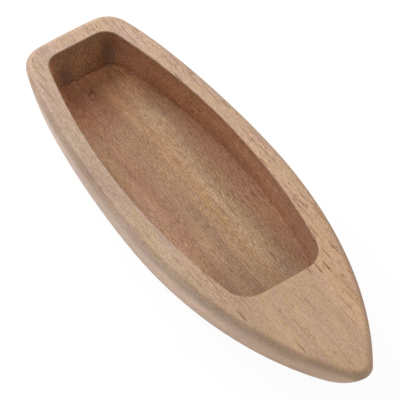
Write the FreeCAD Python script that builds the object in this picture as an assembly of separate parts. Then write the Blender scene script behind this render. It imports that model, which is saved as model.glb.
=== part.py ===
import FreeCAD, Part
import math
import os

# A boat-shaped incense burner: a hull carved from one block of wood, with a deep basin that holds the
# incense and catches its ash, standing on four thin cork feet.
# Millimetres. +X points to the bow, +Y to port and +Z up. The origin is on the surface that the feet
# stand on, under the middle of the hull's length.

# Hull, seen from above
LENGTH = 180.0
BEAM = 61.0
STERN_TO_BEAM = 86.0
STERN_WIDTH = 41.6
STERN_ROUND = 215.0
STERN_CORNER_RADIUS = 9.8
STERN_FLARE = 19.4
BOW_ENTRY = 36.3
BOW_TIP_RADIUS = 5.0

# Fullness of the two curves of a side: how far each end keeps its direction, as a share of its run
QUARTER_FULLNESS = 0.23
AFT_FULLNESS = 0.32
FORE_FULLNESS = 0.39
SHOULDER_FULLNESS = 0.31

# Hull, seen from the side: it draws in from the top to the bottom, slowly at first
HULL_HEIGHT = 20.0
SIDE_LEAN = 3.4
BOW_RAKE = 16.5
STERN_RAKE = 2.0
LEAN_AT_HALF_HEIGHT = 0.38
TOP_EDGE_RADIUS = 2.3
BOTTOM_EDGE_RADIUS = 5.0
UNDERSIDE_TIP_RADIUS = 1.5

# Basin: its walls, rims and corners are measured at its mouth
FLOOR_THICKNESS = 5.5
STERN_WALL = 7.3
DECK_LENGTH = 46.0
RIM_AT_STERN = 8.1
RIM_AMIDSHIPS = 7.3
RIM_AT_DECK = 8.2
BASIN_STERN_RADIUS = 6.5
BASIN_BOW_RADIUS = 9.5
END_LEAN = 4.0
SIDE_DRAFT = 0.8
COVE_RADIUS = 0.8
MOUTH_EDGE_RADIUS = 0.4

# Cork feet
FOOT_DIAMETER = 10.0
FOOT_THICKNESS = 1.5
FOOT_MARGIN = 3.0
STERN_TO_FEET = 40.0
BOW_TO_FEET = 64.0

STERN_X = -LENGTH / 2
BOW_X = LENGTH / 2
BEAM_X = STERN_X + STERN_TO_BEAM
BOTTOM_Z = FOOT_THICKNESS
TOP_Z = BOTTOM_Z + HULL_HEIGHT
FLOOR_Z = BOTTOM_Z + FLOOR_THICKNESS
PORT = 1
STARBOARD = -1
LEVEL_TOLERANCE = 1e-6


def on_circle(centre, radius, angle):
    """The point of a level circle at an angle from +X."""
    return centre + FreeCAD.Vector(radius * math.cos(angle), radius * math.sin(angle), 0)


def arc(centre, radius, start, end):
    """An edge of a level circle from one angle to another."""
    middle = (start + end) / 2
    points = [on_circle(centre, radius, angle) for angle in (start, middle, end)]
    return Part.Arc(*points).toShape()


def line(start, end):
    return Part.LineSegment(start, end).toShape()


def curve(*poles):
    """A smooth edge that leaves its first pole towards the second and ends in line with the last two."""
    bezier = Part.BezierCurve()
    bezier.setPoles(list(poles))
    return bezier.toShape()


def across(edge):
    """The same edge on the other side of the hull."""
    return edge.mirror(FreeCAD.Vector(0, 0, 0), FreeCAD.Vector(0, 1, 0))


def hull_outline(stern_x, bow_x, beam, stern_width, tip_radius, z):
    """The hull's closed outline at one height, tangent all the way round."""
    flare = math.radians(STERN_FLARE)
    entry = math.radians(BOW_ENTRY)

    corner_reach = STERN_ROUND - STERN_CORNER_RADIUS
    corner_y = stern_width / 2 - STERN_CORNER_RADIUS * math.cos(flare)
    corner_turn = math.asin(corner_y / corner_reach)
    stern_centre = FreeCAD.Vector(stern_x + STERN_ROUND, 0, z)
    corner_centre = on_circle(stern_centre, corner_reach, math.pi - corner_turn)
    side_normal = math.pi / 2 + flare
    quarter = on_circle(corner_centre, STERN_CORNER_RADIUS, side_normal)

    tip_centre = FreeCAD.Vector(bow_x - tip_radius, 0, z)
    stem_normal = math.pi / 2 - entry
    stem = on_circle(tip_centre, tip_radius, stem_normal)

    widest = FreeCAD.Vector(BEAM_X, beam / 2, z)
    aft_run = widest.x - quarter.x
    fore_run = stem.x - widest.x
    quarter_handle = on_circle(quarter, QUARTER_FULLNESS * aft_run, flare)
    aft_handle = widest - FreeCAD.Vector(AFT_FULLNESS * aft_run, 0, 0)
    fore_handle = widest + FreeCAD.Vector(FORE_FULLNESS * fore_run, 0, 0)
    shoulder_handle = on_circle(stem, SHOULDER_FULLNESS * fore_run, math.pi - entry)

    side = [
        arc(corner_centre, STERN_CORNER_RADIUS, math.pi - corner_turn, side_normal),
        curve(quarter, quarter_handle, aft_handle, widest),
        curve(widest, fore_handle, shoulder_handle, stem),
    ]
    stern = arc(stern_centre, STERN_ROUND, math.pi + corner_turn, math.pi - corner_turn)
    tip = arc(tip_centre, tip_radius, stem_normal, -stem_normal)
    return Part.Wire([stern] + side + [tip] + [across(edge) for edge in reversed(side)])


def half_breadth(outline, x):
    """How far an outline lies from the centre line at a station."""
    z = outline.Vertexes[0].Z
    ray = line(FreeCAD.Vector(x, 0, z), FreeCAD.Vector(x, BEAM, z))
    return outline.distToShape(ray)[1][0][0].y


def edges_at(shape, z):
    """The edges of a shape that lie in the level plane at z."""
    return [edge for edge in shape.Edges if max(abs(v.z - z) for v in edge.discretize(3)) < LEVEL_TOLERANCE]


def rounding_loss(lean):
    """About how far the rounded top edge draws in a side that leans out by lean over the hull's height."""
    # The side is a parabola through its three levels, and this is its slope where it reaches the top
    slope_at_top = (4 * LEAN_AT_HALF_HEIGHT - 1) * lean / HULL_HEIGHT
    return TOP_EDGE_RADIUS * (math.sqrt(1 + slope_at_top**2) + slope_at_top - 1)


def hull_level(share, z):
    """The hull's outline where it has drawn in by a share of its lean: 0 at the top, 1 at the bottom."""
    bottom_tip_radius = BOTTOM_EDGE_RADIUS + UNDERSIDE_TIP_RADIUS
    return hull_outline(
        STERN_X - rounding_loss(STERN_RAKE) + share * STERN_RAKE,
        BOW_X + rounding_loss(BOW_RAKE) - share * BOW_RAKE,
        BEAM + 2 * rounding_loss(SIDE_LEAN) - 2 * share * SIDE_LEAN,
        STERN_WIDTH - 2 * share * SIDE_LEAN,
        BOW_TIP_RADIUS + share * (bottom_tip_radius - BOW_TIP_RADIUS),
        z,
    )


def hull_block(top_outline, bottom_outline):
    """The block shaped to the boat's sides, with its outer edges sanded round."""
    middle_outline = hull_level(LEAN_AT_HALF_HEIGHT, BOTTOM_Z + HULL_HEIGHT / 2)
    block = Part.makeLoft([bottom_outline, middle_outline, top_outline], True)
    block = block.makeFillet(BOTTOM_EDGE_RADIUS, edges_at(block, BOTTOM_Z))
    return block.makeFillet(TOP_EDGE_RADIUS, edges_at(block, TOP_Z))


def basin_outline(top_outline, end_inset, side_inset, z):
    """The basin's closed outline, its ends and sides drawn inwards from those of its mouth."""
    mouth_stern_x = STERN_X + STERN_WALL
    mouth_bow_x = BOW_X - DECK_LENGTH
    middle_x = (mouth_stern_x + mouth_bow_x) / 2
    rims = [(mouth_stern_x, RIM_AT_STERN), (middle_x, RIM_AMIDSHIPS), (mouth_bow_x, RIM_AT_DECK)]
    side_points = [FreeCAD.Vector(x, half_breadth(top_outline, x) - rim, z) for x, rim in rims]
    side_circle = Part.Arc(*side_points).toShape().Curve
    side_radius = side_circle.Radius - side_inset
    stern_x = mouth_stern_x + end_inset
    bow_x = mouth_bow_x - end_inset

    def corner_centre(x, radius):
        reach = side_radius - radius
        rise = math.sqrt(reach**2 - (x - side_circle.Center.x) ** 2)
        return FreeCAD.Vector(x, side_circle.Center.y + rise, z)

    def angle_from_side(point):
        return math.atan2(point.y - side_circle.Center.y, point.x - side_circle.Center.x)

    aft = corner_centre(stern_x + BASIN_STERN_RADIUS, BASIN_STERN_RADIUS)
    fore = corner_centre(bow_x - BASIN_BOW_RADIUS, BASIN_BOW_RADIUS)
    aft_angle = angle_from_side(aft)
    fore_angle = angle_from_side(fore)
    side = [
        arc(aft, BASIN_STERN_RADIUS, math.pi, aft_angle),
        arc(side_circle.Center, side_radius, aft_angle, fore_angle),
        arc(fore, BASIN_BOW_RADIUS, fore_angle, 0),
    ]
    stern_end = FreeCAD.Vector(stern_x, aft.y, z)
    bow_end = FreeCAD.Vector(bow_x, fore.y, z)
    stern = line(FreeCAD.Vector(stern_end.x, -stern_end.y, z), stern_end)
    bow = line(bow_end, FreeCAD.Vector(bow_end.x, -bow_end.y, z))
    return Part.Wire([stern] + side + [bow] + [across(edge) for edge in reversed(side)])


def basin(top_outline):
    """The hollow: steep sides, ends that lean out more, and a small cove where they meet the floor."""
    floor = basin_outline(top_outline, END_LEAN, SIDE_DRAFT, FLOOR_Z)
    mouth = basin_outline(top_outline, 0, 0, TOP_Z)
    hollow = Part.makeLoft([floor, mouth], True, True)
    return hollow.makeFillet(COVE_RADIUS, edges_at(hollow, FLOOR_Z))


def mouth_edges(hull):
    """The edges round the basin's mouth: those of the deck's inner border."""
    deck = next(face for face in hull.Faces if len(edges_at(face, TOP_Z)) == len(face.Edges))
    mouth = next(wire for wire in deck.Wires if not wire.isSame(deck.OuterWire))
    return mouth.Edges


def carved_hull(top_outline, bottom_outline):
    hull = hull_block(top_outline, bottom_outline).cut(basin(top_outline))
    return hull.makeFillet(MOUTH_EDGE_RADIUS, mouth_edges(hull))


def cork_foot(bottom_outline, x, side):
    """A disc stuck to the flat of the bottom, FOOT_MARGIN inside the rounded edge."""
    edge_y = half_breadth(bottom_outline, x) - BOTTOM_EDGE_RADIUS - FOOT_MARGIN
    centre = FreeCAD.Vector(x, side * (edge_y - FOOT_DIAMETER / 2), 0)
    return Part.makeCylinder(FOOT_DIAMETER / 2, FOOT_THICKNESS, centre)


def main():
    top_outline = hull_level(0, TOP_Z)
    bottom_outline = hull_level(1, BOTTOM_Z)
    nodes = {"hull": carved_hull(top_outline, bottom_outline)}
    for end, x in (("stern", STERN_X + STERN_TO_FEET), ("bow", BOW_X - BOW_TO_FEET)):
        for hand, side in (("port", PORT), ("starboard", STARBOARD)):
            nodes[f"cork_foot_{end}_{hand}"] = cork_foot(bottom_outline, x, side)

    os.makedirs("parts", exist_ok=True)
    for name, shape in nodes.items():
        shape.exportStep(f"parts/{name}.step")
        print(name, shape.isValid(), len(shape.Solids), round(shape.Volume, 1), shape.optimalBoundingBox())


main()
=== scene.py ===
# %% [markdown]
# # A boat-shaped incense burner in Blender
# The burner is a small boat carved from one block of wood: a squared stern, a pointed bow with a flat
# deck, and a deep basin that holds the incense and catches its ash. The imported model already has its
# exact shape, so this lesson gives it its looks: a camera, soft light, and a wood that runs right through
# the block.

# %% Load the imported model
import math
import bmesh
import bpy
from mathutils import Matrix, Vector


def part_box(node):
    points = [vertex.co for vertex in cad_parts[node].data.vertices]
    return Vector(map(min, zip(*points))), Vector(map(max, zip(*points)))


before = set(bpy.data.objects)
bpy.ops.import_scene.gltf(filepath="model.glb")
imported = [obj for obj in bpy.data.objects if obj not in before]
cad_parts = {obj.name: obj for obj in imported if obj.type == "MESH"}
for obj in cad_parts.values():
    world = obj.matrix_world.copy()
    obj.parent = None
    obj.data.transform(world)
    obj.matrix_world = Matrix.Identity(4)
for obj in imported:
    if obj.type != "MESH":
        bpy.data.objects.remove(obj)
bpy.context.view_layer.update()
hull_low, hull_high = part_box("hull")
MM_PER_METRE = 1000


def in_mm(lengths, digits=1):
    """Lengths in metres, rounded for printing in millimetres."""
    return [round(MM_PER_METRE * length, digits) for length in lengths]


print("nodes:", sorted(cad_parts))
print("hull, in mm:", in_mm(hull_high - hull_low))

# %% [markdown]
# ## Camera
# A product picture like this is taken with a long lens from well back, so that the bow doesn't loom. The
# camera could be turned towards the boat with a constraint, but here its three axes are worked out from
# two angles, as on a tripod head: the azimuth goes round the object and the elevation lifts the camera
# above the table.

# %% Camera
AZIMUTH = math.radians(55.475)
ELEVATION = math.radians(51.545)
DISTANCE = 1.1729
LENS_MM = 307.24
SENSOR_MM = 36.0
AIM = Vector((-0.0089, 0.0020, 0.0081))


def direction(azimuth, elevation):
    """The unit vector from the object towards a place round it: azimuth 0 is in front, at -Y."""
    level = math.cos(elevation)
    return Vector((math.sin(azimuth) * level, -math.cos(azimuth) * level, math.sin(elevation)))


def link(name, data):
    """A new object in the scene."""
    made = bpy.data.objects.new(name, data)
    bpy.context.scene.collection.objects.link(made)
    return made


backwards = direction(AZIMUTH, ELEVATION)
rightwards = Vector((math.cos(AZIMUTH), math.sin(AZIMUTH), 0))
axes = Matrix((rightwards, backwards.cross(rightwards), backwards)).transposed()
camera = link("camera", bpy.data.cameras.new("camera"))
camera.data.lens = LENS_MM
camera.data.sensor_width = SENSOR_MM
camera.matrix_world = Matrix.Translation(AIM + DISTANCE * backwards) @ axes.to_4x4()
bpy.context.scene.camera = camera
bpy.context.scene.view_settings.view_transform = "Standard"
print("camera at, in mm:", in_mm(camera.matrix_world.translation))

# %% [markdown]
# ## Small tools for materials
# A material is a tree of nodes, which is usually put together with the mouse. In a script each node would
# take several lines, so these helpers make a node, set or join its sockets, and do a sum.

# %% Small tools for materials


def plug(tree, socket, value):
    """Sets a socket to a number or colour, or links another node's output to it."""
    if isinstance(value, bpy.types.NodeSocket):
        tree.links.new(value, socket)
    else:
        socket.default_value = value


def add(tree, kind, settings=None, **sockets):
    """A new shader node. An underscore in a socket's name stands for a space."""
    node = tree.nodes.new("ShaderNode" + kind)
    for name, value in (settings or {}).items():
        setattr(node, name, value)
    for name, value in sockets.items():
        plug(tree, node.inputs[name.replace("_", " ")], value)
    return node


def calculate(tree, operation, first, second=0.0):
    """One sum on two numbers, or on the first alone."""
    node = add(tree, "Math", {"operation": operation})
    plug(tree, node.inputs[0], first)
    plug(tree, node.inputs[1], second)
    return node.outputs[0]


def product(tree, *factors):
    """Two or more numbers multiplied together."""
    result = factors[0]
    for factor in factors[1:]:
        result = calculate(tree, "MULTIPLY", result, factor)
    return result


def between(tree, share, first, second):
    """A number that goes straight from the first to the second as a share goes from 0 to 1."""
    return add(tree, "MapRange", Value=share, To_Min=first, To_Max=second).outputs[0]


def empty_material(name):
    """A material with no nodes but its output."""
    made = bpy.data.materials.new(name)
    made.use_nodes = True
    made.node_tree.nodes.clear()
    return made, add(made.node_tree, "OutputMaterial")


# %% [markdown]
# ## White table and background
# The boat stands on a white table against white. Strong light would make both white, but would bleach the
# wood. So the camera and the reflections see the table mostly as plain white, and a small share of its
# brightness is the light that really falls on it, which keeps a soft shadow under the hull. The
# background is plain white to the camera in the same way, and only a dim light to the wood.

# %% Table
FLOOR_SIZE = 4.0
FLOOR_WHITE = 0.8
LIT_SHARE = 0.07
PLAIN_SHARE = 0.956


def seen_directly(tree):
    """1 for the rays of the camera, of reflections and of glass, and 0 for the light on other things."""
    rays = add(tree, "LightPath").outputs
    mirrored = calculate(tree, "MAXIMUM", rays["Is Glossy Ray"], rays["Is Transmission Ray"])
    return calculate(tree, "MAXIMUM", rays["Is Camera Ray"], mirrored)


white_table, table_output = empty_material("white_table")
tree = white_table.node_tree
seen = seen_directly(tree)
lit = add(tree, "BsdfDiffuse", Color=between(tree, seen, FLOOR_WHITE, FLOOR_WHITE * LIT_SHARE))
plain = add(tree, "Emission", Strength=product(tree, seen, PLAIN_SHARE))
both = add(tree, "AddShader")
plug(tree, both.inputs[0], lit.outputs[0])
plug(tree, both.inputs[1], plain.outputs[0])
plug(tree, table_output.inputs["Surface"], both.outputs[0])

floor_mesh = bpy.data.meshes.new("floor")
sheet = bmesh.new()
bmesh.ops.create_grid(sheet, x_segments=1, y_segments=1, size=FLOOR_SIZE / 2)
sheet.to_mesh(floor_mesh)
sheet.free()
floor_mesh.materials.append(white_table)
link("floor", floor_mesh)
print("table:", FLOOR_SIZE, "m across")

# %% Background
WHITE = (1, 1, 1, 1)
WORLD_STRENGTH = 0.26

world = bpy.data.worlds.new("studio")
world.use_nodes = True
bpy.context.scene.world = world
tree = world.node_tree
glow = tree.nodes["Background"]
plug(tree, glow.inputs["Color"], WHITE)
plug(tree, glow.inputs["Strength"], between(tree, seen_directly(tree), WORLD_STRENGTH, 1.0))
print("background: 1 to the camera,", WORLD_STRENGTH, "to the wood")

# %% [markdown]
# ## Lamps
# A studio lights such a piece with soft boxes, and so does this scene: three round lamps of half a metre
# or more. The strongest stands behind the stern, so that the basin's walls shade its floor. A weaker one
# to port of the bow opens up the shade, and one low over the table lights the starboard side.

# %% Lamps
LAMP_DISTANCE = 1.2


def soft_lamp(name, azimuth, elevation, watts, size):
    """A round soft box that looks at the boat."""
    towards = direction(math.radians(azimuth), math.radians(elevation))
    lamp = link(name, bpy.data.lights.new(name, "AREA"))
    lamp.data.shape = "DISK"
    lamp.data.size = size
    lamp.data.energy = watts
    lamp.location = LAMP_DISTANCE * towards
    lamp.rotation_euler = towards.to_track_quat("Z", "Y").to_euler()
    print(f"{name}: {watts} W, {size} m across")


soft_lamp("stern_lamp", azimuth=280, elevation=37, watts=11.5, size=0.7)
soft_lamp("port_lamp", azimuth=135, elevation=30, watts=2.6, size=0.5)
soft_lamp("table_edge_lamp", azimuth=345, elevation=8, watts=2.6, size=0.5)

# %% [markdown]
# ## Wood, from the block outwards
# The boat is carved, so its grain isn't a skin: each surface cuts through the same block, with long
# streaks on the deck and floor, and dots on the stern, where the fibres end. A picture or a wrapped
# pattern would stretch round the corners. Instead the pattern is a solid one, worked out from the place
# in the block, and simply stretched along the fibres, which run from stern to bow. Values that come in
# pairs here are mostly spans: where a change starts and where it ends.

# %% Small tools for solid patterns
WHOLE = (0.0, 1.0)
FALLING = (1.0, 0.0)
# A Mix node has sockets for numbers, vectors and colours in one list, and these are the ones for colours.
FIRST_COLOUR = 6
SECOND_COLOUR = 7
MIXED_COLOUR = 2


def block_place(tree):
    """The place in the block, in metres along, across and up."""
    return add(tree, "TexCoord").outputs["Object"]


def split(tree, vector):
    """The three numbers of a vector."""
    return add(tree, "SeparateXYZ", Vector=vector).outputs


def stretched(tree, size):
    """Coordinates in which a pattern's unit has a length along the fibres and a width across them."""
    length, width = size
    scale = (1 / length, 1 / width, 1 / width)
    return add(tree, "Mapping", Vector=block_place(tree), Scale=scale).outputs[0]


def noise(tree, vector, detail=2.0):
    """A cloudy pattern, mostly between 0.2 and 0.8."""
    return add(tree, "TexNoise", Vector=vector, Scale=1.0, Detail=detail).outputs["Fac"]


def spread(tree, value, span, results=WHOLE):
    """Goes smoothly from one result to another while a value crosses a span, and stays there beyond."""
    node = add(tree, "MapRange", {"interpolation_type": "SMOOTHSTEP"}, Value=value)
    for name, number in zip(("From Min", "From Max", "To Min", "To Max"), (*span, *results)):
        plug(tree, node.inputs[name], number)
    return node.outputs[0]


def mixed(tree, share, first, second, blend_type="MIX"):
    """Mixes two colours."""
    node = add(tree, "Mix", {"data_type": "RGBA", "blend_type": blend_type})
    plug(tree, node.inputs[0], share)
    plug(tree, node.inputs[FIRST_COLOUR], first)
    plug(tree, node.inputs[SECOND_COLOUR], second)
    return node.outputs[MIXED_COLOUR]


def tinted(tree, colour, tint, share=1.0):
    """A colour under a tint, or partly under it where the share is less than 1."""
    return mixed(tree, share, colour, tint, "MULTIPLY")


def toned(tree, colour, tone):
    """A colour made lighter or darker by a tone about 1."""
    return add(tree, "VectorMath", {"operation": "SCALE"}, Vector=colour, Scale=tone).outputs[0]


# %% [markdown]
# ## Growth bands
# Each year the tree lays down a band, and bands differ a little in colour. Across this block they stand
# almost upright: reddish brown to starboard, orange and pale yellow near the middle, and dark red to
# port. Next to the port wall the darkest, reddest stops are also painted shade, where the wall shades the
# floor. A ramp across the boat gives each its place, and a slow noise lets them wander, so that no edge is
# ruled. A second ramp, along the boat, makes the wood redder towards the stern and less red towards the
# bow. Its two stops at the stern are painted light: the floor there lies in the stern wall's shade, and
# they make it redder, and brighter at the foot of the wall, as light bounced off the walls would.

# %% Growth bands
BAND_WANDER = 0.003
WANDER_SIZE = (0.06, 0.012)
NOISE_SPAN = (0.2, 0.8)
# The stops from 0.0145 to port are partly painted shade beside the port wall.
BANDS_AND_PAINTED_SHADE = (
    (-0.032, (0.50, 0.29, 0.18)),
    (-0.014, (0.52, 0.30, 0.185)),
    (-0.010, (0.405, 0.22, 0.135)),
    (-0.006, (0.46, 0.275, 0.165)),
    (-0.002, (0.43, 0.25, 0.15)),
    (0.002, (0.52, 0.315, 0.18)),
    (0.004, (0.53, 0.31, 0.165)),
    (0.008, (0.56, 0.36, 0.215)),
    (0.0115, (0.51, 0.325, 0.195)),
    (0.0145, (0.42, 0.25, 0.145)),
    (0.020, (0.38, 0.195, 0.11)),
    (0.032, (0.38, 0.20, 0.115)),
)
# The stops at -0.080 and -0.066 are painted light in the shade of the stern wall.
TINTS_AND_PAINTED_LIGHT_ALONG = (
    (-0.080, (1.4, 1.15, 0.98)),
    (-0.066, (1.0, 0.82, 0.73)),
    (-0.048, (0.99, 0.99, 0.985)),
    (0.005, (1.03, 1.07, 1.085)),
    (0.030, (0.955, 1.0, 1.03)),
)


def colour_ramp(tree, place, stops):
    """Colours at places in metres, and smooth changes between them."""
    first, last = stops[0][0], stops[-1][0]
    share = add(tree, "MapRange", Value=place, From_Min=first, From_Max=last).outputs[0]
    ramp = add(tree, "ValToRGB", Fac=share)
    ramp.color_ramp.interpolation = "EASE"
    elements = ramp.color_ramp.elements
    for stop, _ in stops[1:-1]:
        elements.new((stop - first) / (last - first))
    for element, (_, colour) in zip(elements, stops):
        element.color = (*colour, 1)
    return ramp.outputs["Color"]


wood, wood_output = empty_material("carved_wood")
tree = wood.node_tree
along, across, height = split(tree, block_place(tree))
wander = spread(tree, noise(tree, stretched(tree, WANDER_SIZE)), NOISE_SPAN, (-BAND_WANDER, BAND_WANDER))
bands = colour_ramp(tree, calculate(tree, "ADD", across, wander), BANDS_AND_PAINTED_SHADE)
bands = tinted(tree, bands, colour_ramp(tree, along, TINTS_AND_PAINTED_LIGHT_ALONG))
print(len(BANDS_AND_PAINTED_SHADE), "colours across the block,", len(TINTS_AND_PAINTED_LIGHT_ALONG), "tints along it")

# %% [markdown]
# ## Where the basin is
# The basin was cut into the block with a router, and looks different from the sanded outside. It could be
# painted by hand, but its shape is known: two long arcs for sides, two ends and a floor, so a few sums
# say which points of the block lie in it. They take in a little more than the basin, which does no harm:
# the block has no other surface there. Which way a face looks matters too: walls differ from floors, and
# the fibres end in faces that look fore or aft.

# %% Basin mask
BASIN_MIDDLE = -0.0123
BASIN_HALF_WIDTH = 0.0250
BASIN_SIDE_RADIUS = 0.247
BASIN_STERN = -0.0845
BASIN_BOW = 0.0455
BASIN_FLOOR = 0.007
SOFT_EDGE = 0.0004


def above(tree, value, limit, softness=SOFT_EDGE):
    """1 where a value is over a limit, 0 where it is under it."""
    return spread(tree, value, (limit - softness, limit + softness))


def below(tree, value, limit, softness=SOFT_EDGE):
    """1 where a value is under a limit, 0 where it is over it."""
    return spread(tree, value, (limit - softness, limit + softness), FALLING)


from_middle = calculate(tree, "SUBTRACT", along, BASIN_MIDDLE)
sagitta = calculate(tree, "DIVIDE", calculate(tree, "POWER", from_middle, 2.0), 2 * BASIN_SIDE_RADIUS)
side_place = calculate(tree, "ADD", calculate(tree, "ABSOLUTE", across), sagitta)
carved = product(
    tree,
    below(tree, side_place, BASIN_HALF_WIDTH),
    above(tree, along, BASIN_STERN),
    below(tree, along, BASIN_BOW),
    above(tree, height, BASIN_FLOOR - 2 * SOFT_EDGE),
    below(tree, height, hull_high.z - SOFT_EDGE),
)
print("basin from stern to bow, and its floor, in mm:", in_mm((BASIN_STERN, BASIN_BOW, BASIN_FLOOR)))

# %% Which way a face looks
UPRIGHT_TO_LEVEL = (0.25, 0.85)
AFT_TO_SIDEWAYS = (-0.8, -0.4)

facing_x, facing_y, facing_z = split(tree, add(tree, "NewGeometry").outputs["Normal"])
levelness = calculate(tree, "ABSOLUTE", facing_z)
endwise = calculate(tree, "ABSOLUTE", facing_x)
steep = spread(tree, levelness, UPRIGHT_TO_LEVEL, FALLING)
not_aft = spread(tree, facing_x, AFT_TO_SIDEWAYS)
print("rise of the normal, from upright faces to level ones:", UPRIGHT_TO_LEVEL)

# %% [markdown]
# ## Sanded outside
# Sanding leaves the outside and the rim pale, with only a trace of the bands. The tone changes slowly
# from stern to bow and gets warmer to port, as ramps do. The upright sides are paler than the top, most
# of all away from the bow, which is a painted reflection of the white table; low down they are paler
# still, which is painted light from the table. A painted shade darkens the side just under the rounded
# edge, and fades towards the tip of the bow. The stern's face looks aft and keeps its colour, because the
# fibres end in it.

# %% Sanded outside
SANDED_AT_STERN = (0.585, 0.42, 0.31, 1)
SANDED_AT_BOW = (0.595, 0.392, 0.245, 1)
STERN_TO_BOW = (-0.085, 0.06)
BANDS_SHARE_OUTSIDE = 0.12
TO_STARBOARD = (0.945, 0.95, 0.955, 1)
TO_PORT = (1.10, 1.07, 1.035, 1)
STARBOARD_TO_PORT = (-0.03, 0.03)
# Painted reflection: the sides paler and greyer, as the white table would show in them.
SIDE_PAINTED_REFLECTION = (0.66, 0.50, 0.385, 1)
SIDE_SHARES = (1 / 2, 1 / 6)
SIDE_TO_BOW = (0.02, 0.075)
# Painted shade on the side just under the rounded edge, fading towards the bow.
PAINTED_SHADE_UNDER_EDGE = (0.82, 0.80, 0.80, 1)
EDGE_TO_TOP = (0.8, 0.97)
EDGE_LIMIT = 0.0165
EDGE_SOFTNESS = 0.0025
EDGE_TO_TIP = (0.062, 0.080)
EDGE_SHARES = (1.0, 0.3)
# Painted light: low on the sides, paler and bluer, as from the white table.
LOW_SIDE_PAINTED_LIGHT = (1.13, 1.16, 1.24, 1)
LOW_SIDE_LIMIT = 0.0155
LOW_SIDE_SOFTNESS = 0.0035

sanded = mixed(tree, spread(tree, along, STERN_TO_BOW), SANDED_AT_STERN, SANDED_AT_BOW)
outside = mixed(tree, BANDS_SHARE_OUTSIDE, sanded, bands)
side_tint = mixed(tree, spread(tree, across, STARBOARD_TO_PORT), TO_STARBOARD, TO_PORT)
outside = tinted(tree, outside, side_tint)
# Where the painted reflection on the sides falls.
painted_reflection_share = product(tree, steep, not_aft, spread(tree, along, SIDE_TO_BOW, SIDE_SHARES))
outside = mixed(tree, painted_reflection_share, outside, SIDE_PAINTED_REFLECTION)
# Where the painted shade under the edge falls.
shade_under_edge = product(
    tree,
    spread(tree, levelness, EDGE_TO_TOP, FALLING),
    above(tree, height, EDGE_LIMIT, EDGE_SOFTNESS),
    spread(tree, along, EDGE_TO_TIP, EDGE_SHARES),
)
# Where the painted light low on the sides falls.
painted_low_light = product(tree, steep, not_aft, below(tree, height, LOW_SIDE_LIMIT, LOW_SIDE_SOFTNESS))
outside = tinted(tree, outside, PAINTED_SHADE_UNDER_EDGE, shade_under_edge)
outside = tinted(tree, outside, LOW_SIDE_PAINTED_LIGHT, painted_low_light)
print("sanded outside:", BANDS_SHARE_OUTSIDE, "of the bands shows")

# %% [markdown]
# ## Carved basin
# The bands show in full on the basin's floor. Its walls are darker and redder, partly their own colour
# and partly painted shade, and darkest just under the rim, which is painted shade. The starboard wall is
# cut into the paler bands on that side, and follows them. Mixing by the way a face looks puts each finish
# in its place.

# %% Carved basin
# The wall colours are partly painted shade.
WALL_AT_STERN = (0.475, 0.225, 0.112, 1)
WALL_AT_BOW = (0.435, 0.225, 0.132, 1)
WALL_TO_BOW = (-0.05, 0.03)
WALL_TO_RIM = (0.014, hull_high.z)
# Painted shade: tones that darken the walls just under the rim.
PAINTED_SHADE_UNDER_RIM = (1.0, 0.82)
STARBOARD_WALL = (0.3, 0.8)
STARBOARD_WALL_TONE = 0.85

wall = mixed(tree, spread(tree, along, WALL_TO_BOW), WALL_AT_STERN, WALL_AT_BOW)
# Painted shade under the rim.
wall = toned(tree, wall, spread(tree, height, WALL_TO_RIM, PAINTED_SHADE_UNDER_RIM))
banded_wall = toned(tree, bands, STARBOARD_WALL_TONE)
wall = mixed(tree, spread(tree, facing_y, STARBOARD_WALL), wall, banded_wall)
inside = mixed(tree, steep, bands, wall)
print("tone of the walls, from middle to rim:", PAINTED_SHADE_UNDER_RIM)

# %% [markdown]
# ## Marks
# A small knot lies in the floor near the stern, with redder wood round it, and paler or greyer wood
# beside it. In the port corner of the floor near the stern a patch is painted light, and the floor near
# the bow wall is painted shade. The two stern corners each get a spot of painted shade, and so does the
# crease at the foot of the end walls. Outside, stretches of the rim, the side and the stem are darker or
# paler; low on the side near the stern and on the stem this is painted light. All this could be painted
# on an image, but each mark is only a soft spot: where its middle is in the block, how far it reaches
# along, across and up, and its tint.

# %% Marks
KNOT = ((-0.0705, -0.002, BASIN_FLOOR), (0.0055, 0.0024, 0.003))
KNOT_TINT = (0.45, 0.33, 0.27, 1)
SWIRL_SIZE = (0.0016, 0.0009)
SWIRL_SPAN = (0.4, 0.6)
BASIN_SPOTS = {
    "round the knot": ((-0.062, -0.004, BASIN_FLOOR), (0.022, 0.010, 0.006), (0.84, 0.79, 0.79, 1)),
    # Painted light: a brighter patch in the port corner of the floor by the stern.
    "port corner": ((-0.073, 0.0145, 0.008), (0.016, 0.009, 0.009), (1.5, 1.6, 1.6, 1)),
    "to port of the knot": ((-0.059, 0.0075, BASIN_FLOOR), (0.018, 0.011, 0.006), (0.93, 1.01, 1.08, 1)),
    "to starboard of it": ((-0.058, -0.0135, BASIN_FLOOR), (0.032, 0.007, 0.006), (1.25, 1.33, 1.32, 1)),
    "port wall": ((-0.074, 0.0160, 0.0115), (0.016, 0.006, 0.008), (1.05, 1.22, 1.55, 1)),
    # Painted shade: the floor darker near the bow wall.
    "floor near the bow": ((0.033, 0.0075, BASIN_FLOOR), (0.013, 0.007, 0.006), (0.84, 0.81, 0.80, 1)),
    # Painted shade in the two stern corners of the basin.
    "shade in the starboard stern corner": ((-0.0800, -0.0065, 0.0105), (0.006, 0.0045, 0.008), (0.60, 0.64, 0.84, 1)),
    "shade in the port stern corner": ((-0.0795, 0.0115, 0.0115), (0.006, 0.0040, 0.009), (0.66, 0.85, 1.10, 1)),
}
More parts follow.
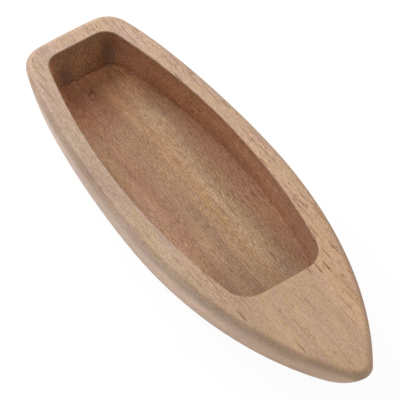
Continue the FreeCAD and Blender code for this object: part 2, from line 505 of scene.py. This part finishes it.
SANDED_SPOTS = {
    "rim near the stern": ((-0.062, -0.0235, 0.020), (0.020, 0.007, 0.004), (0.87, 0.85, 0.80, 1)),
    "edge amidships": ((-0.030, -0.0285, 0.0205), (0.024, 0.0032, 0.004), (0.82, 0.76, 0.74, 1)),
    "pale rim": ((0.016, -0.0260, 0.020), (0.020, 0.007, 0.004), (1.12, 1.16, 1.18, 1)),
    "rim beside the deck": ((0.041, -0.0200, 0.020), (0.012, 0.007, 0.004), (0.88, 0.86, 0.85, 1)),
    "pale side": ((0.030, -0.0260, 0.0125), (0.034, 0.011, 0.007), (1.20, 1.16, 1.15, 1)),
    # Painted light: paler and bluer low on the side near the stern, as from the white table.
    "low side near the stern": ((-0.062, -0.0240, 0.007), (0.030, 0.012, 0.012), (1.13, 1.17, 1.27, 1)),
    # Painted light on the stem, which faces down towards the white table.
    "stem": ((0.084, 0.0, 0.008), (0.018, 0.014, 0.014), (1.28, 1.33, 1.45, 1)),
}
# Painted shade in the crease at the foot of the end walls.
PAINTED_CREASE_SHADE = (0.75, 0.7, 0.66, 1)
CREASE_HEIGHT = 0.001
CREASE_SPAN = (0.1, 0.4)


def soft_spot(tree, centre, reach):
    """1 in the middle of a spot in the block, and 0 beyond its reach along, across and up."""
    shift = [-c / r for c, r in zip(centre, reach)]
    scale = [1 / r for r in reach]
    local = add(tree, "Mapping", Vector=block_place(tree), Location=shift, Scale=scale).outputs[0]
    away = add(tree, "VectorMath", {"operation": "LENGTH"}, Vector=local).outputs["Value"]
    return spread(tree, away, WHOLE, FALLING)


def spotted(tree, colour, spots):
    """A colour with each of the spots tinted in its own way."""
    for centre, reach, tint in spots.values():
        colour = tinted(tree, colour, tint, soft_spot(tree, centre, reach))
    return colour


swirl = spread(tree, noise(tree, stretched(tree, SWIRL_SIZE)), SWIRL_SPAN)
knot = product(tree, soft_spot(tree, *KNOT), swirl)
marks = tinted(tree, spotted(tree, inside, BASIN_SPOTS), KNOT_TINT, knot)
# Where the painted shade in the crease falls.
crease = product(
    tree,
    below(tree, height, BASIN_FLOOR + CREASE_HEIGHT, CREASE_HEIGHT / 2),
    spread(tree, endwise, CREASE_SPAN),
)
marks = tinted(tree, marks, PAINTED_CREASE_SHADE, crease)
colour = mixed(tree, carved, spotted(tree, outside, SANDED_SPOTS), marks)
print("marks:", ", ".join([*BASIN_SPOTS, *SANDED_SPOTS]))

# %% [markdown]
# ## Mottling
# Wood and cork are never of one tone: small parts of them are lighter or darker than the rest. Each
# material could have its own copy of the nodes for that. Because both need it, it is made once, as a node
# group with inputs for the coordinates and the two tones, and placed in each material with its own
# values.

# %% Mottling as a node group
MOTTLING_DETAIL = 3.0
MOTTLING_SPAN = (0.25, 0.75)

mottling = bpy.data.node_groups.new("mottling", "ShaderNodeTree")
mottling.interface.new_socket("Vector", in_out="INPUT", socket_type="NodeSocketVector")
mottling.interface.new_socket("Dark", in_out="INPUT", socket_type="NodeSocketFloat")
mottling.interface.new_socket("Light", in_out="INPUT", socket_type="NodeSocketFloat")
mottling.interface.new_socket("Tone", in_out="OUTPUT", socket_type="NodeSocketFloat")
group_in = mottling.nodes.new("NodeGroupInput").outputs
group_out = mottling.nodes.new("NodeGroupOutput").inputs
clouds = noise(mottling, group_in["Vector"], MOTTLING_DETAIL)
tone = spread(mottling, clouds, MOTTLING_SPAN, (group_in["Dark"], group_in["Light"]))
plug(mottling, group_out["Tone"], tone)


def mottled(tree, size, tones):
    """The group's tone in a material, for parts of a length and width, between a dark and a light tone."""
    dark, light = tones
    where = stretched(tree, size)
    node = add(tree, "Group", {"node_tree": mottling}, Vector=where, Dark=dark, Light=light)
    return node.outputs["Tone"]


print("mottling:", [socket.name for socket in mottling.interface.items_tree])

# %% [markdown]
# ## Fibres and streaks
# Under the bands the wood is a bundle of fibres, too many to draw as lines. A mottling that is stretched
# along the boat gives them, and a shorter one breaks them up. Together they change blue more than red, so
# that dark fibres look warmer and pale ones cooler. They are faint on the deck, clearer on the rim,
# clearest where the router left the wood rough, and weaker on faces that look aft. Wider mottlings make
# the streaks, the patches and a slow change between yellow and pink.

# %% Fibres and streaks
# Each mottling has a size, its length and width in metres, and two tones, dark and light.
FIBRE = ((0.0025, 0.00028), (0.75, 1.25))
SPECKLE = ((0.0004, 0.00026), (0.5, 1.5))
STREAK = ((0.05, 0.0012), (0.94, 1.06))
PATCH = ((0.03, 0.005), (0.92, 1.08))
HUE = ((0.025, 0.0014), WHOLE)
YELLOW = (1.015, 1.02, 0.88, 1)
PINK = (1.003, 0.965, 1.075, 1)
RIM_CONTRAST = 0.7
DECK_CONTRAST = 0.5
RIM_TO_DECK = (0.03, 0.06)
CARVED_CONTRAST = 1.4
AFT_CONTRAST = 0.45
FINE_CHANGE = (0.84, 1.05, 1.28)
UNCHANGED = (1.0, 1.0, 1.0)

fibre = mottled(tree, *FIBRE)
streak = mottled(tree, *STREAK)
on_sanded = spread(tree, along, RIM_TO_DECK, (RIM_CONTRAST, DECK_CONTRAST))
contrast = between(tree, carved, on_sanded, CARVED_CONTRAST)
looking_aft = spread(tree, not_aft, WHOLE, (AFT_CONTRAST, 1.0))
change = calculate(tree, "SUBTRACT", product(tree, fibre, mottled(tree, *SPECKLE)), 1.0)
change = product(tree, change, contrast, looking_aft)
fine = add(tree, "VectorMath", {"operation": "MULTIPLY_ADD"})
for socket, value in zip(fine.inputs, (change, FINE_CHANGE, UNCHANGED)):
    plug(tree, socket, value)
colour = tinted(tree, colour, fine.outputs[0])
colour = tinted(tree, colour, mixed(tree, mottled(tree, *HUE), YELLOW, PINK))
colour = toned(tree, colour, product(tree, streak, mottled(tree, *PATCH)))
print("fibre, length and width in mm:", in_mm(FIBRE[0], 2))

# %% [markdown]
# ## Pores
# The wood has long open pores, which the plane cut lengthwise into dark dashes. A noise with a threshold
# would give blots, but a pore has a length and a width. Pores lie in sheets, as they do in a growth ring,
# and these sheets lean, so that level faces and upright ones both cut them into thin lines. Each pore is
# the middle of a long, flat cell, where every cell draws a lot and only some get a pore, more of them to
# port. They fade in the basin, on faces that look fore or aft, and where a surface skims along a sheet.

# %% Pores
# Sizes are in metres, and a spacing is in pores. As the crowd grows over its span, the lot that a cell
# needs for a pore goes from the first number to the second.
PORES = {
    "long": {"size": (0.0075, 0.0005), "spacing": 3.2, "crowding": (0.45, 0.65), "lots": (0.95, 0.5)},
    "line": {"size": (0.016, 0.0006), "spacing": 2.2, "crowding": (0.45, 0.65), "lots": (0.9, 0.3)},
    "short": {"size": (0.0025, 0.0004), "spacing": 2.4, "crowding": (0.5, 0.72), "lots": (0.97, 0.4)},
}
PORE_SHARES = {"long": 1.0, "line": 0.5, "short": 0.75}
PORE_EDGE = (0.25, 0.5)
DEPTH_POWER = 0.4
CROWD_SIZE = (0.04, 0.005)
MORE_TO_PORT = (-0.05, 0.14)
LENGTHWISE_TO_ENDWISE = (0.25, 0.55)
SKIMMING = (1.15, 1.38)
SKIMMED_SHARE = 0.2
CARVED_SHARE = 0.6
IN_PORE = (0.36, 0.17, 0.1, 1)


def sheets(tree, length, width):
    """Flat coordinates, along the fibres and across sheets that lean at 45 degrees."""
    lean = calculate(tree, "ADD", across, height)
    unit_x = calculate(tree, "DIVIDE", along, length)
    unit_y = calculate(tree, "DIVIDE", lean, width)
    return add(tree, "CombineXYZ", X=unit_x, Y=unit_y).outputs[0]


def dashes(tree, crowd, size, spacing, crowding, lots):
    """Thin pores of a length and width: one in each cell whose lot is high enough for the crowd there."""
    length, width = size
    where = sheets(tree, length * spacing, width * spacing)
    cells = add(tree, "TexVoronoi", {"voronoi_dimensions": "2D"}, Vector=where, Scale=1.0).outputs
    needed = spread(tree, crowd, crowding, lots)
    lot = split(tree, cells["Color"])[0]
    depth = add(tree, "MapRange", Value=lot, From_Min=needed, From_Max=1.0).outputs[0]
    edge = [part / spacing for part in PORE_EDGE]
    in_pore = spread(tree, cells["Distance"], edge, FALLING)
    return product(tree, in_pore, calculate(tree, "POWER", depth, DEPTH_POWER))


to_port = spread(tree, across, STARBOARD_TO_PORT, MORE_TO_PORT)
crowd = calculate(tree, "ADD", noise(tree, stretched(tree, CROWD_SIZE)), to_port)
pores = 0.0
for name, kind in PORES.items():
    cut = product(tree, dashes(tree, crowd, **kind), PORE_SHARES[name])
    pores = calculate(tree, "MAXIMUM", pores, cut)
along_sheet = calculate(tree, "ABSOLUTE", calculate(tree, "ADD", facing_y, facing_z))
pores = product(
    tree,
    pores,
    spread(tree, endwise, LENGTHWISE_TO_ENDWISE, FALLING),
    spread(tree, along_sheet, SKIMMING, (1.0, SKIMMED_SHARE)),
    spread(tree, carved, WHOLE, (1.0, CARVED_SHARE)),
)
colour = tinted(tree, colour, IN_PORE, pores)
print("pores:", ", ".join(PORES))

# %% [markdown]
# ## End grain
# Where a surface faces the stern or the bow, the fibres end in it. Cut ends drink oil and scatter less
# light, so they are darker, and the pores show as dots. A second material could be put on those faces,
# but the round corners would show a seam, so the end grain comes in smoothly with the way a face looks.
# It is clearest on the basin's end walls, weaker on the sanded stern and weakest on the stem. The basin's
# bow wall, which the camera doesn't see, is darker still.

# %% End grain
END_GRAIN = (0.80, 0.835, 0.82, 1)
END_DOTS = ((0.0006, 0.0005), (0.64, 1.36))
SLANTED_TO_ENDWISE = (0.55, 0.95)
STERN_TO_STEM = (0.0, 0.5)
STERN_SHARE = 0.6
STEM_SHARE = 0.3
BOW_WALL = (0.62, 0.62, 0.62, 1)
BOW_WALL_SPAN = (-0.7, -0.1)

on_sanded_end = spread(tree, facing_x, STERN_TO_STEM, (STERN_SHARE, STEM_SHARE))
end_share = between(tree, carved, on_sanded_end, 1.0)
cut_across = product(tree, spread(tree, endwise, SLANTED_TO_ENDWISE), end_share)
dotted = tinted(tree, toned(tree, colour, mottled(tree, *END_DOTS)), END_GRAIN)
colour = mixed(tree, cut_across, colour, dotted)
bow_wall = product(tree, carved, spread(tree, facing_x, BOW_WALL_SPAN, FALLING))
colour = tinted(tree, colour, BOW_WALL, bow_wall)
print("end grain on the stern and on the stem:", STERN_SHARE, STEM_SHARE)

# %% [markdown]
# ## Finish of the wood
# The wood is bare, with no varnish: matt where it was sanded, and duller still in the basin. Its fibres
# stand up a little and its pores are open. Both are far too fine to model, so a bump of a fraction of a
# millimetre makes the light break on them.

# %% Finish of the wood
SANDED_ROUGHNESS = 0.6
CARVED_ROUGHNESS = 0.9
RELIEF_DEPTH = 0.0002
FIBRE_RELIEF = 0.4
WOOD_BUMP = 0.3

relief = calculate(tree, "SUBTRACT", product(tree, fibre, FIBRE_RELIEF), pores)
bump = add(tree, "Bump", Strength=WOOD_BUMP, Distance=RELIEF_DEPTH, Height=relief)
roughness = spread(tree, carved, WHOLE, (SANDED_ROUGHNESS, CARVED_ROUGHNESS))
roughness = product(tree, roughness, streak)
surface = add(tree, "BsdfPrincipled", Base_Color=colour, Roughness=roughness, Normal=bump.outputs[0])
plug(tree, wood_output.inputs["Surface"], surface.outputs[0])
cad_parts["hull"].material_slots[0].material = wood
print("wood:", len(tree.nodes), "nodes")

# %% [markdown]
# ## Cork feet
# The feet are discs cut from pressed cork: crumbs of bark in several browns, stuck together, with a few
# dark ones among them. Crumbs could be modelled one by one, but on discs this small, cells with a colour
# of their own are enough, and the mottling group shades them.

# %% Cork
CRUMB = 0.0011
CRUMB_DARK = (0.36, 0.20, 0.10, 1)
CRUMB_LIGHT = (0.52, 0.33, 0.18, 1)
BARK = (0.16, 0.08, 0.04, 1)
BARK_LOTS = (0.86, 0.9)
CORK_MOTTLING = ((0.0004, 0.0004), (0.85, 1.12))
CREVICE_SPAN = (0.35, 0.75)
CORK_BUMP = 0.5
CORK_ROUGHNESS = 0.85

cork, cork_output = empty_material("cork")
tree = cork.node_tree
crumbs = add(tree, "TexVoronoi", Vector=stretched(tree, (CRUMB, CRUMB)), Scale=1.0).outputs
lot = split(tree, crumbs["Color"])[0]
colour = mixed(tree, spread(tree, lot, WHOLE), CRUMB_DARK, CRUMB_LIGHT)
colour = mixed(tree, spread(tree, lot, BARK_LOTS), colour, BARK)
colour = toned(tree, colour, mottled(tree, *CORK_MOTTLING))
crevice = spread(tree, crumbs["Distance"], CREVICE_SPAN, FALLING)
bump = add(tree, "Bump", Strength=CORK_BUMP, Distance=RELIEF_DEPTH, Height=crevice)
surface = add(tree, "BsdfPrincipled", Base_Color=colour, Roughness=CORK_ROUGHNESS, Normal=bump.outputs[0])
plug(tree, cork_output.inputs["Surface"], surface.outputs[0])
feet = [node for name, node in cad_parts.items() if name.startswith("cork_foot")]
for foot in feet:
    foot.material_slots[0].material = cork
print(len(feet), "cork feet")
